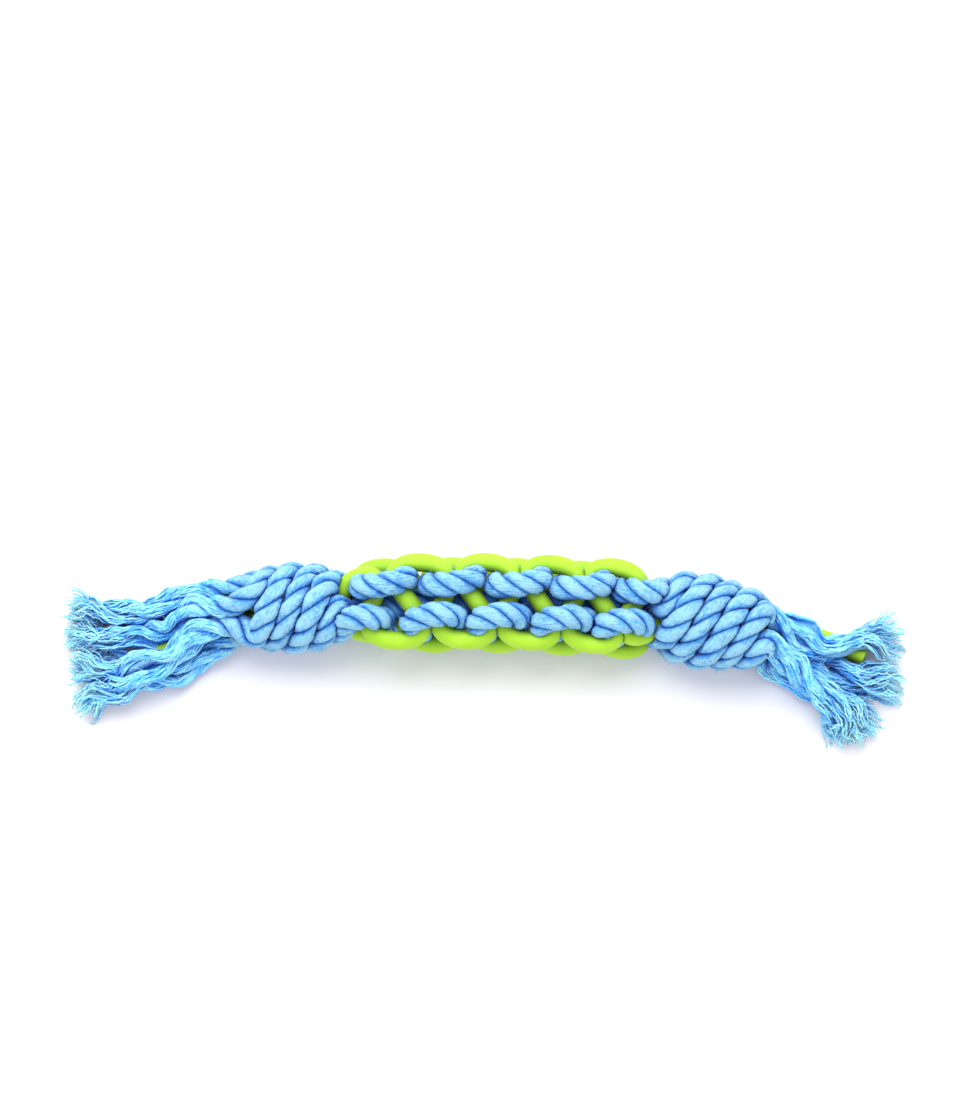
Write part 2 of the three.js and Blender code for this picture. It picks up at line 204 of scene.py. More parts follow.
def lerp(a, b, share):
    return a + (b - a) * share


def unit(vectors):
    return vectors / np.linalg.norm(vectors, axis=-1, keepdims=True)


def outward(end):
    return -1 if end == "left" else 1


def angles_round(count):
    return np.arange(count) / count * TURN


# Lines
SPAN_DIVISIONS = 12


def smooth_line(points):
    """A centripetal curve through the points, with SPAN_DIVISIONS steps from each point to the next."""
    all_points = np.asarray(points, float)
    ahead, behind = 2 * all_points[0] - all_points[1], 2 * all_points[-1] - all_points[-2]
    all_points = np.vstack([ahead, all_points, behind])
    gaps = np.sqrt(np.linalg.norm(np.diff(all_points, axis=0), axis=1))[:, None]
    before, start, end, after = all_points[:-3], all_points[1:-2], all_points[2:-1], all_points[3:]
    gap_before, gap, gap_after = gaps[:-2], gaps[1:-1], gaps[2:]
    straight = (end - start) / gap
    leave = ((start - before) / gap_before - (end - before) / (gap_before + gap) + straight) * gap
    arrive = (straight - (after - start) / (gap + gap_after) + (after - end) / gap_after) * gap
    share = (np.arange(SPAN_DIVISIONS) / SPAN_DIVISIONS)[None, :, None]
    start, end, leave, arrive = (x[:, None, :] for x in (start, end, leave, arrive))
    square = -3 * start + 3 * end - 2 * leave - arrive
    cube = 2 * start - 2 * end + leave + arrive
    line = start + leave * share + square * share**2 + cube * share**3
    return np.vstack([line.reshape(-1, 3), all_points[-2]])


def run_of(line):
    """The length of a line up to each of its points."""
    return np.concatenate([[0], np.cumsum(np.linalg.norm(np.diff(line, axis=0), axis=1))])


def along_line(line, run, at):
    """What a line's three columns hold at places between its points."""
    return np.stack([np.interp(at, run, line[:, k]) for k in range(3)], axis=-1)


def turned_along(lay, run):
    """How far a lay of so many millimetres a turn has turned, up to each place of a run."""
    rate = TURN / lay
    return np.concatenate([[0], np.cumsum((rate[1:] + rate[:-1]) / 2 * np.diff(run))])


# The toy's axis, from the left knot's end to the right knot's end
AXIS_STEPS = 400


def join_of(end):
    x = SINNET_CENTRE_X + outward(end) * SINNET_LENGTH / 2
    return np.array([x, END_Y[end], (SINNET_AXIS_HEIGHT + KNOT_AXIS_HEIGHT[end]) / 2])


def knot_point(end, share):
    heading = np.array([math.cos(HEADING[end]), math.sin(HEADING[end]), 0])
    point = join_of(end) + heading * outward(end) * KNOT_LENGTH[end] * share
    point[2] = KNOT_AXIS_HEIGHT[end]
    return point


def bow_point(share):
    point = lerp(join_of("left"), join_of("right"), share)
    point[1] += SINNET_BOW * 4 * share * (1 - share)
    point[2] = SINNET_AXIS_HEIGHT
    return point


axis_line = smooth_line([
    knot_point("left", 1), knot_point("left", 0.5), join_of("left"),
    bow_point(0.2), bow_point(0.5), bow_point(0.8),
    join_of("right"), knot_point("right", 0.5), knot_point("right", 1),
])
axis_run = run_of(axis_line)
AXIS_LENGTH = axis_run[-1]
axis_at = along_line(axis_line, axis_run, np.linspace(0, AXIS_LENGTH, AXIS_STEPS + 1))
axis_along = np.gradient(axis_at, axis=0)
axis_along[:, 2] = 0
axis_along = unit(axis_along)
axis_side = np.cross(UP, axis_along)


def place(distance, side, rise):
    """A place by its distance from the axis's middle, its distance to the far side, and its rise."""
    run = distance + AXIS_LENGTH / 2
    held = min(max(run, 0), AXIS_LENGTH)
    exact = held / AXIS_LENGTH * AXIS_STEPS
    step = min(int(exact), AXIS_STEPS - 1)
    mix = exact - step
    at = lerp(axis_at[step], axis_at[step + 1], mix) + axis_along[step] * (run - held)
    return at + lerp(axis_side[step], axis_side[step + 1], mix) * side + UP * rise


def sinnet_point(name, layer):
    """Where a strand's middle lies in the weave. At whole layers it is half way between its crests."""
    kind, facing, _ = STRANDS[name]
    from_end = min(layer - FIRST_LAYER, LAST_LAYER - layer)
    leg = (1 + math.cos(TURN * layer)) / 2
    wave = math.sin(math.pi * layer) * facing
    run = (layer - FIRST_LAYER) / (LAST_LAYER - FIRST_LAYER)
    heart_angle = lerp(HEART_ANGLES["left"], HEART_ANGLES["right"], run)
    side = HEART_RADIUS * math.cos(heart_angle) * facing
    rise = HEART_RADIUS * math.sin(heart_angle) * facing
    reach = 0
    if kind == "rope":
        sway = ROPE_SWAY * math.cos(math.pi * layer) * ease(from_end / REACH_LAYERS)
        side = (lerp(ROPE_CREST_SPACING, ROPE_LEG_SPACING, leg) / 2 - sway) * facing
        rise = ROPE_SWING * wave
        reach = ROPE_REACH
    if kind == "rod":
        full = ease(from_end / GATHER_LAYERS)
        core_side = (1 if run < 0.5 else -1) * ROD_CORE_SPACING / 2 * facing
        level = lerp(ROD_CREST_SPACING, ROD_LEG_SPACING, leg) / 2 * facing
        side = lerp(core_side, -ROD_SWING * wave, full)
        rise = lerp(ROD_CORE_RISE * facing, level, full)
        reach = ROD_REACH
    shift = LAYER_OFFSET * ease(from_end / OFFSET_LAYERS)
    shift -= SLANT_SHARE[kind] * side * ease(from_end / SLANT_LAYERS)
    shift -= reach * math.sin(TURN * layer) * ease(from_end / REACH_LAYERS)
    return place((layer - MIDDLE_LAYER) * LAYER_PITCH + shift, side, rise)


def knot_place(end, name, run):
    """Where a strand's middle lies in a knot, this far along the axis from where the sinnet ends."""
    kind, facing, _ = STRANDS[name]
    distance = outward(end) * (SINNET_LENGTH / 2 + run)
    if kind == "rod":
        return place(distance, -outward(end) * facing * ROD_CORE_SPACING / 2, facing * ROD_CORE_RISE)
    start_radius = HEART_RADIUS if kind == "heart" else ROPE_LEG_SPACING / 2
    spread = ease((run + (SHOULDER_LENGTH / 2 if kind == "heart" else 0)) / SHOULDER_LENGTH)
    taper = ease((run - KNOT_LENGTH[end] + TAPER_LENGTH) / TAPER_LENGTH)
    diameter = lerp(KNOT_DIAMETER[end], KNOT_END_DIAMETER[end], taper)
    reached = lerp(start_radius, (diameter - TURN_HEIGHT) / 2, spread)
    turned = max(run, 0) / TURN_LEAD * TURN
    angle = -outward(end) * (TURN_ORDER[end].index(name) * TURN / 4 + turned)
    return place(distance, reached * math.cos(angle), reached * math.sin(angle))


def held_points(name):
    inset = SHOULDER_LENGTH / 2 / LAYER_PITCH if STRANDS[name][0] == "heart" else 0
    layers = np.arange(FIRST_LAYER + inset, LAST_LAYER - inset + TINY, WEAVE_STEP / STRAND_PER_LAYER)
    points = [knot_place("left", name, run) for run in KNOT_RUNS["left"]]
    points += [sinnet_point(name, layer) for layer in layers]
    return points + [knot_place("right", name, run) for run in KNOT_RUNS["right"][::-1]]


# Strands
LINE_STEP = 0.5
# The lay is drawn out where the rope is wrapped tight, and short where it bends up and down in the weave.
KNOT_LAY, WEAVE_LAY, LAY_CHANGE = 29, 22, 12
# How far a strand swells where nothing presses on it, and how firmly it keeps its half of a shared space
FULL_RADIUS = {"rope": 5.8, "heart": 5.0, "rod": 4.0}
FIRMNESS = {"rope": 3.6, "heart": 3.6, "rod": 4.0}
# Where a strand leaves its knot its line is averaged over this far each way, and within this far of there.
BEND_EASE, BEND_SPREAD = 7, 12


def eased_line(line):
    """A line with its points averaged along it, so that it has no sharp bend."""
    reach = int(BEND_EASE / LINE_STEP)
    weights = np.hanning(2 * reach + 3)[1:-1]
    weights = weights / weights.sum()
    padded = np.vstack([np.repeat(line[:1], reach, axis=0), line, np.repeat(line[-1:], reach, axis=0)])
    return np.stack([np.convolve(padded[:, k], weights, "valid") for k in range(3)], axis=-1)


def steady_sides(along):
    """A direction across a line at each point, which turns no more than it has to."""
    side = unit(np.cross(along[0], UP))
    sides = []
    for tangent in along:
        side = unit(side - tangent * (side @ tangent))
        sides.append(side)
    return np.array(sides)


class Strand:
    """A strand from tip to tip: its line, its section axes, its lay, and how far along its tails begin."""

    def __init__(self, name):
        left, right = TAIL_ROUTES["left"][name][::-1], TAIL_ROUTES["right"][name]
        held = held_points(name)
        rough = smooth_line(left + held + right) - SHIFT
        rough_run = run_of(rough)
        run_at_point = rough_run[::SPAN_DIVISIONS]
        weave_start = run_at_point[len(left) + len(KNOT_RUNS["left"])]
        weave_end = run_at_point[len(left) + len(held) - len(KNOT_RUNS["right"])]
        self.name = name
        self.kind = STRANDS[name][0]
        self.radius = FULL_RADIUS[self.kind]
        self.length = rough_run[-1]
        self.exits = {"left": run_at_point[len(left) - 1], "right": run_at_point[len(left) + len(held)]}
        self.mouths = {end: self.exits[end] - outward(end) * MOUTH_INSET[end] for end in self.exits}
        self.run = np.linspace(0, self.length, int(round(self.length / LINE_STEP)) + 1)
        self.woven = ease((self.run - weave_start) / LAY_CHANGE) * ease((weave_end - self.run) / LAY_CHANGE)
        self.lay = turned_along(lerp(KNOT_LAY, WEAVE_LAY, self.woven), self.run)
        self.line = along_line(rough, rough_run, self.run)
        for leave in self.exits.values():
            near_knot = np.exp(-(((self.run - leave) / BEND_SPREAD) ** 2))[:, None]
            self.line = lerp(self.line, eased_line(self.line), near_knot)
        self.along = unit(np.gradient(self.line, axis=0))
        self.side = steady_sides(self.along)

    def at(self, run):
        return along_line(self.line, self.run, run)

    def axes(self, run):
        """The directions to the side, across and along at places of the run."""
        side = unit(along_line(self.side, self.run, run))
        along = unit(along_line(self.along, self.run, run))
        return side, np.cross(along, side), along

    def lay_angle(self, run):
        """The turn of the rope's lay, which puts one ply ahead of the next by a third of a turn."""
        return np.interp(run, self.run, self.lay)


strands = {name: Strand(name) for name in STRANDS}

# How strands press on each other and on the floor
NEIGHBOUR_STEP = 1.2
OWN_REACH = 20
SECTION_ANGLES = 48
STRAND_GAP = 0.12
FLOOR_GAP = 0.05
LEAST_REACH = 0.3

neighbours = [(strand, run) for strand in strands.values()
              for run in np.arange(0, strand.length, NEIGHBOUR_STEP)]
near_at = np.array([strand.at(run) for strand, run in neighbours])
near_run = np.array([run for _, run in neighbours])
near_name = np.array([strand.name for strand, _ in neighbours])
near_radius = np.array([strand.radius for strand, _ in neighbours])
near_firm = np.array([FIRMNESS[strand.kind] for strand, _ in neighbours])
near_is_rod = np.array([strand.kind == "rod" for strand, _ in neighbours])


def first_root(a, b, c):
    """The least positive root of a x^2 + b x + c, or infinity."""
    inner = b * b - 4 * a * c
    root = np.sqrt(np.maximum(inner, 0))
    roots = np.stack([-b - root, -b + root]) / (2 * a)
    return np.where((inner < 0) | (roots <= 0), np.inf, roots).min(axis=0)


def reach_beside(strand, centre, run, directions):
    """How far a strand reaches in each direction before what lies beside it stops it."""
    apart = centre - near_at
    far = np.linalg.norm(apart, axis=1)
    own = (near_name == strand.name) & (np.abs(near_run - run) < OWN_REACH)
    near = ~own & (far < strand.radius + near_radius + STRAND_GAP)
    reach = np.full(SECTION_ANGLES, strand.radius)
    if not near.any():
        return reach
    ratio = near_firm[near] / FIRMNESS[strand.kind]
    facing = directions @ apart[near].T
    square, line = 1 - ratio**2 + TINY, 2 * (facing - ratio * STRAND_GAP)
    shared = first_root(square, line, far[near] ** 2 - STRAND_GAP**2)
    if strand.kind != "rod":
        skin = (near_radius[near] + STRAND_GAP) ** 2
        bare = first_root(1.0, 2 * facing, np.maximum(far[near] ** 2 - skin, SMALL))
        shared = np.where(near_is_rod[near], np.maximum(shared, bare), shared)
    return np.minimum(reach, shared.min(axis=1))


def press_shares(strand, runs):
    """How much of its radius a strand keeps at each run and angle, pressed by what lies beside it."""
    centres = strand.at(runs)
    side, across, _ = strand.axes(runs)
    angles = angles_round(SECTION_ANGLES)
    shares = np.ones((len(runs), SECTION_ANGLES))
    for i, centre in enumerate(centres):
        directions = np.cos(angles)[:, None] * side[i] + np.sin(angles)[:, None] * across[i]
        reach = reach_beside(strand, centre, runs[i], directions)
        down = directions[:, 2] < -SMALL
        floor_reach = np.where(down, (centre[2] - FLOOR_GAP) / np.where(down, -directions[:, 2], 1), np.inf)
        shares[i] = np.minimum(reach, np.maximum(floor_reach, LEAST_REACH)) / strand.radius
    return shares


def share_at(shares, rows, angles):
    """The kept share at angles, one row of angles for each row of shares."""
    exact = (angles / TURN % 1) * SECTION_ANGLES
    low = np.floor(exact).astype(int) % SECTION_ANGLES
    mix = exact - np.floor(exact)
    return lerp(shares[rows, low], shares[rows, (low + 1) % SECTION_ANGLES], mix)


# Where random draws start, for each held rope and for each end's tails
HELD_SEED, SEEDS_PER_END = 40, 10

# Plies: where a ply's middle lies and how far it reaches, in shares of the rope's radius
PLIES = 3
PLY_CENTRE, PLY_RADIAL, PLY_TANGENTIAL = 0.52, 0.48, 0.64
# A ply has 60 degrees to each side of its middle, and fills a little less.
HALF_WEDGE = math.radians(59)
PLY_SIDES = 24
PLY_ANGLES = angles_round(PLY_SIDES)
YARN_LAY = 17
RING_STEP = 1.0
GROOVE_SHARE = 0.6


def ply_outline():
    """A ply's section from its own middle, flattened where it meets the other two plies."""
    x, y = PLY_RADIAL * np.cos(PLY_ANGLES), PLY_TANGENTIAL * np.sin(PLY_ANGLES)
    slope = math.tan(HALF_WEDGE)
    past = np.abs(y) - slope * x
    limit = np.where(past > SMALL, slope * PLY_CENTRE / np.maximum(past, SMALL), np.inf)
    return x * np.minimum(limit, 1), y * np.minimum(limit, 1)


PLY_X, PLY_Y = ply_outline()
# How far up a ply each point of its outline lies: 0 in the groove, 1 on the crest. The cotton's colour reads
# it as painted shade, darker in the grooves between plies and paler on the crests.
ply_crests = np.clip((np.hypot(PLY_CENTRE + PLY_X, PLY_Y) - GROOVE_SHARE) / (1 - GROOVE_SHARE), 0, 1)
ply_crests = np.append(ply_crests, ply_crests[0])


def ply_around(runs):
    """The texture map's count of turns round a ply, with the twist of its yarns."""
    return np.arange(PLY_SIDES + 1)[None, :] / PLY_SIDES + runs[:, None] / YARN_LAY


def ring_points(centres, side, across, angles, reach):
    """Points round each centre, at these angles and distances."""
    to_side, to_across = (np.cos(angles) * reach)[..., None], (np.sin(angles) * reach)[..., None]
    return centres[:, None] + side[:, None] * to_side + across[:, None] * to_across


def above_floor(points, height=FLOOR_GAP):
    """The points, with those that lie lower than the height raised to it."""
    points[..., 2] = np.maximum(points[..., 2], height)
    return points


RIPPLE_SIZE = 1.4
STEEP = 0.9


def ripple(rng, runs, lengths, size):
    """A smooth random wave along the runs, about this size each way, from waves of the given lengths."""
    phases = rng.uniform(0, TURN, len(lengths))
    waves = [np.sin(runs / length * TURN + phase) for length, phase in zip(lengths, phases)]
    return sum(waves) / len(lengths) * RIPPLE_SIZE * size


def yarn_rings(line, radius, side_count):
    """Rings round a line, set by what is up or, where the line is steep, by what is far."""
    along = unit(np.gradient(line, axis=0))
    side = unit(np.cross(np.where(np.abs(along[:, 2:3]) > STEEP, FAR, UP), along))
    return ring_points(line, side, np.cross(along, side), angles_round(side_count), radius[:, None])


class Shell:
    """Tubes gathered into one mesh, with a texture map that runs round and along each tube."""

    def __init__(self):
        self.points, self.faces, self.count = [], [], 0
        self.maps = {"run": [], "depth": []}

    def tube(self, rings, along, around=None, crest=1.0, tip=0.0):
        """rings is (n, m, 3); around (n, m + 1) and along (n,) map the texture. The second map holds how far
        up a ridge each point lies, crest (n, m + 1), which the cotton paints as shade in the grooves, and
        how near the tip, tip (n,), both 0 to 1."""
        n, m, _ = rings.shape
        around = np.arange(m + 1) / m if around is None else around
        around, crest = (np.broadcast_to(values, (n, m + 1)) for values in (around, crest))
        along, tip = (np.broadcast_to(values, n) for values in (along, tip))
        self.points += [rings.reshape(-1, 3), rings[[0, -1]].mean(axis=1)]
        first, cap = self.count, self.count + n * m
        self.count += n * m + 2
        ring, corner = np.meshgrid(np.arange(n - 1), np.arange(m), indexing="ij")
        rows = np.stack([ring, ring, ring + 1, ring + 1], -1).reshape(-1, 4)
        columns = np.stack([corner, corner + 1, corner + 1, corner], -1).reshape(-1, 4)
        self.faces += (first + rows * m + columns % m).tolist()
        edge = np.arange(m)
        for centre, row, turn in ((cap, 0, 1), (cap + 1, n - 1, -1)):
            start = first + row * m
            ends = np.stack([np.full(m, centre), start + (edge + 1) % m, start + edge], -1)
            self.faces += ends[:, ::turn].tolist()
        for name, u, v in (("run", around, along), ("depth", crest, tip)):
            self.maps[name].append(np.stack([u[rows, columns], v[rows]], -1).reshape(-1, 2))
            self.maps[name] += [np.tile([u[row, 0], v[row]], (3 * m, 1)) for row in (0, n - 1)]

    def make(self, name, material):
        mesh = bpy.data.meshes.new(name)
        mesh.from_pydata((np.vstack(self.points) * MM).tolist(), [], self.faces)
        mesh.polygons.foreach_set("use_smooth", np.ones(len(mesh.polygons), bool))
        for map_name, corners in self.maps.items():
            layer = mesh.uv_layers.new(name=map_name)
            layer.data.foreach_set("uv", np.vstack(corners).astype(np.float32).ravel())
        mesh.materials.append(material)
        mesh.update()
        piece = add(name, mesh)
        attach(piece, "root")
        return piece


# Shader nodes
def graph(name):
    material = bpy.data.materials.new(name)
    material.use_nodes = True
    return material, material.node_tree, material.node_tree.nodes["Principled BSDF"]


def fill(tree, made, inputs):
    """Give a node's inputs their values. Another node's output is linked to the input instead."""
    for key, value in inputs.items():
        if isinstance(value, bpy.types.NodeSocket):
            tree.links.new(value, made.inputs[key])
        else:
            made.inputs[key].default_value = value


def node(tree, kind, inputs=None, **settings):
    made = tree.nodes.new("ShaderNode" + kind)
    for key, value in settings.items():
        setattr(made, key, value)
    fill(tree, made, inputs or {})
    return made


def reckon(tree, operation, *values):
    """The result of an operation on values or on other nodes' outputs."""
    return node(tree, "Math", dict(enumerate(values)), operation=operation).outputs[0]


def rescale(tree, value, given, wanted, clamp=True):
    """A value that ran between the two given ends, brought between the two wanted ones."""
    ends = {0: value, 1: given[0], 2: given[1], 3: wanted[0], 4: wanted[1]}
    return node(tree, "MapRange", ends, clamp=clamp).outputs[0]


def noise(tree, at, scale, detail, roughness):
    settings = {"Vector": at, "Scale": scale, "Detail": detail, "Roughness": roughness}
    return node(tree, "TexNoise", settings).outputs["Fac"]


def bump(tree, height, strength, depth, under=None):
    """A bumped surface direction, over one that was bumped before. The depth is in millimetres."""
    settings = {"Height": height, "Strength": strength, "Distance": depth * MM}
    if under is not None:
        settings["Normal"] = under
    return node(tree, "Bump", settings).outputs[0]


def fade(tree, share, first, second):
    """The first colour, faded into the second by a share from 0 to 1."""
    return node(tree, "Mix", {0: share, 6: first, 7: second}, data_type="RGBA").outputs[2]


def texture_map(tree, name):
    """A texture map's vector, and its parts by axis."""
    vector = node(tree, "UVMap", uv_map=name).outputs["UV"]
    return vector, node(tree, "SeparateXYZ", {0: vector}).outputs


def linear(*colour):
    """An sRGB colour, 0 to 255, as Blender's linear values."""
    shares = [c / 255 for c in colour]
    return [c / 12.92 if c <= 0.04045 else ((c + 0.055) / 1.055) ** 2.4 for c in shares] + [1]


def tone_at(tree, value, tones):
    """The colour at a value on a scale of tones, each a place on the scale and an sRGB colour."""
    scale = node(tree, "ValToRGB", {0: value})
    elements = scale.color_ramp.elements
    while len(elements) < len(tones):
        elements.new(0.5)
    for element, (position, tone) in zip(elements, tones):
        element.position = position
        element.color = linear(*tone)
    return scale.outputs[0]


# How deep a fold is seen as one when shade is painted into it, and how well it is looked for
FOLD_DEPTH, FOLD_SAMPLES = 10, 6


def openness(tree, closed, wide):
    """0 in tight folds and 1 on open ground, from how much of what lies round a point is near. The colours
    darken by it, which paints shade into the folds.
    """
    clear = node(tree, "AmbientOcclusion", {"Distance": FOLD_DEPTH * MM}, samples=FOLD_SAMPLES)
    return rescale(tree, clear.outputs["AO"], (closed, wide), (0, 1))


# Cotton
# Scales of tones from deep to pale. The deep end is painted shade in grooves and folds, the pale end painted
# light on the ply crests; the cotton's own random mottle moves along the scale as well.
ROPE_TONES = [
    (0, (12, 64, 186)), (0.2, (32, 108, 218)), (0.42, (66, 150, 234)), (0.74, (114, 189, 244)),
    (1, (160, 219, 249)),
]
YARN_TONES = [
    (0, (4, 82, 232)), (0.28, (40, 144, 248)), (0.58, (104, 200, 255)), (0.92, (172, 240, 255)),
]
TIP_COLOUR = (190, 250, 255)
# Noises as scale, detail and roughness: fibres on the run map, fuzz and clouds of dye in metres
FIBRE_NOISE, FUZZ_NOISE, CLOUD_NOISE = (3.0, 4, 0.6), (620, 4, 0.7), (110, 3, 0.55)
# Fibres are fine round a yarn and long along it.
FIBRES_ROUND, FIBRES_ALONG = 0.55, 0.09
# Bumps as strength and depth
YARN_BUMP, FIBRE_BUMP, FUZZ_BUMP = 0.6, (0.8, 0.9), (0.8, 1.2)
# The three noises add up to about this range, and move the tone by this much down and up.
MOTTLE_RANGE, MOTTLE = (1.1, 1.9), 0.42
# How open the ground is in the deepest fold and outside the folds, and how much tone is left in a fold,
# where shade is painted
COTTON_FOLDS, FOLD_SHARE = (0.05, 0.7), 0.05
COTTON_FINISH = {
    "Roughness": 0.95,
    "Specular IOR Level": 0.2,
    "Sheen Roughness": 0.5,
    "Sheen Tint": linear(190, 238, 255),
    "Subsurface Radius": (0.25, 0.7, 1),
    "Subsurface Scale": 1.6 * MM,
}


def cotton(name, yarns, groove, tones, island, sheen, glow):
    """Cotton: yarns that wind round each ply, fine fibres along them, painted shade in the grooves and
    folds, pale tips. Loose yarns differ in tone by up to the island value."""
    material, tree, shader = graph(name)
    run, run_parts = texture_map(tree, "run")
    _, depth_parts = texture_map(tree, "depth")
    stretch = {"Vector": run, "Scale": (yarns * FIBRES_ROUND, FIBRES_ALONG, 1)}
    at = node(tree, "TexCoord").outputs["Object"]
    fibre = noise(tree, node(tree, "Mapping", stretch).outputs[0], *FIBRE_NOISE)
    fuzz = noise(tree, at, *FUZZ_NOISE)
    cloud = noise(tree, at, *CLOUD_NOISE)

    wave = reckon(tree, "SINE", reckon(tree, "MULTIPLY", run_parts["X"], yarns * math.pi))
    relief = bump(tree, reckon(tree, "ABSOLUTE", wave), YARN_BUMP, groove)
    relief = bump(tree, fibre, *FIBRE_BUMP, relief)
    relief = bump(tree, fuzz, *FUZZ_BUMP, relief)

    speckle = reckon(tree, "ADD", reckon(tree, "ADD", fibre, cloud), fuzz)
    mottle = rescale(tree, speckle, MOTTLE_RANGE, (-MOTTLE, MOTTLE), clamp=False)
    single = node(tree, "NewGeometry").outputs["Random Per Island"]
    single = rescale(tree, single, (0, 1), (-island, island))
    # The tone is the crest share, which paints shade into the grooves, plus the cotton's own random mottle;
    # folds darken it further as painted shade.
    level = reckon(tree, "ADD", reckon(tree, "ADD", depth_parts["X"], mottle), single)
    shade = rescale(tree, openness(tree, *COTTON_FOLDS), (0, 1), (FOLD_SHARE, 1))
    tone_and_shade = tone_at(tree, reckon(tree, "MULTIPLY", level, shade), tones)
    tone_and_shade = fade(tree, depth_parts["Y"], tone_and_shade, linear(*TIP_COLOUR))

    shader.subsurface_method = "BURLEY"
    fill(tree, shader, COTTON_FINISH | {"Sheen Weight": sheen, "Subsurface Weight": glow})
    fill(tree, shader, {"Base Color": tone_and_shade, "Normal": relief})
    return material


# Rubber
RUBBER_TONES = [(0.35, (164, 216, 42)), (0.65, (176, 226, 50))]
# The painted shade that the rubber takes in its folds
RUBBER_SHADE = (96, 142, 12)
STAIN_NOISE, GRAIN_NOISE = (60, 2, 0.5), (900, 3, 0.5)
GRAIN_BUMP = (0.12, 0.1)
RUBBER_FOLDS = (0.1, 0.75)
RUBBER_FINISH = {
    "Roughness": 0.62,
    "Specular IOR Level": 0.4,
    "Sheen Weight": 0.5,
    "Sheen Roughness": 0.3,
    "Sheen Tint": linear(236, 255, 190),
}


def rubber(name):
    """Matt rubber with a faint grain, with shade painted into its folds."""
    material, tree, shader = graph(name)
    at = node(tree, "TexCoord").outputs["Object"]
    colour = tone_at(tree, noise(tree, at, *STAIN_NOISE), RUBBER_TONES)
    # Painted shade: the colour darkens where the occlusion node finds folds.
    colour = fade(tree, openness(tree, *RUBBER_FOLDS), linear(*RUBBER_SHADE), colour)
    relief = bump(tree, noise(tree, at, *GRAIN_NOISE), *GRAIN_BUMP)
    fill(tree, shader, RUBBER_FINISH | {"Base Color": colour, "Normal": relief})
    return material


rope_material = cotton("cotton_rope", yarns=14, groove=0.4, tones=ROPE_TONES, island=0, sheen=0.5,
                       glow=0.25)
yarn_material = cotton("cotton_yarn", yarns=2, groove=0.1, tones=YARN_TONES, island=0.28, sheen=0.8,
                       glow=0.8)
rod_material = rubber("rubber_rod")

# Held ropes: a rope swells less in the weave, which holds it taut, than in the knots.
WOVEN_FULLNESS = 0.93
FULLEST_PLY = 1.05
# Random waves in the lay and in each ply's thickness: their lengths, and their size as a share
LAY_RIPPLE, PLY_RIPPLE = ((31, 47), 0.16), ((7.3, 12.1, 19), 0.07)
# Lumps on a ply's skin: waves round it, the length of each in mm, and their height in shares of its radius
LUMPS, LUMP_HEIGHT = ((3, 13), (5, -8.3), (7, 5.6)), 0.016
# Hairs stand within so many points of a ply's crest, and this many rings from the rope's ends.
HAIRS_PER_ROPE, HAIR_SPREAD, HAIR_MARGIN = 1500, 6, 4
HAIR_RADIUS, HAIR_SIDES, HAIR_LENGTHS = 0.07, 3, (0.8, 2.2)
HAIR_TAPER = np.array([1, 0.8, 0.5])
HAIR_OUTWARD, HAIR_LEAN, HAIR_CURL, CURL_SHARE = (0.5, 1.2), 0.8, 0.5, 0.5
# How far a hair's or a loose fibre's colour has faded to that of the tips
HAIR_FADE = 0.6


def held_ply(strand, runs, shares, turn, ends, rng):
    """The rings of one ply, turned by this angle at each run, and even towards the rope's ends."""
    theta = turn[:, None] + np.arctan2(PLY_Y, PLY_CENTRE + PLY_X)[None, :]
    swell = 1 + ripple(rng, runs, *PLY_RIPPLE) * ends
    lumps = sum(np.sin(waves * PLY_ANGLES[None, :] + (runs / length * TURN + rng.uniform(0, TURN))[:, None])
                for waves, length in LUMPS)
    size = np.hypot(PLY_CENTRE + PLY_X, PLY_Y)[None, :]
    size = size * (swell[:, None] + lumps * LUMP_HEIGHT * ends[:, None])
    kept = share_at(shares, np.arange(len(runs))[:, None], theta)
    reach = np.minimum(size, FULLEST_PLY) * strand.radius * kept
    side, across, _ = strand.axes(runs)
    return above_floor(ring_points(strand.at(runs), side, across, theta, reach))


def add_hairs(shell, skins, centres, runs, rng):
    """Short hairs on the plies, left out where they would reach into the floor."""
    for _ in range(HAIRS_PER_ROPE):
        rings = skins[rng.integers(PLIES)]
        row = rng.integers(HAIR_MARGIN, len(runs) - HAIR_MARGIN)
        root = rings[row, rng.integers(-HAIR_SPREAD, HAIR_SPREAD + 1)]
        out = unit(root - centres[row])
        lean = unit(out * rng.uniform(*HAIR_OUTWARD) + rng.normal(0, HAIR_LEAN, 3))
        curl = rng.normal(0, HAIR_CURL, 3)
        length = rng.uniform(*HAIR_LENGTHS)
        line = root + np.linspace(0, 1, len(HAIR_TAPER))[:, None] * lean * length
        line[-1] += curl * length * CURL_SHARE
        if line[:, 2].min() > HAIR_RADIUS + FLOOR_GAP:
            shell.tube(yarn_rings(line, HAIR_TAPER * HAIR_RADIUS, HAIR_SIDES), runs[row], tip=HAIR_FADE)


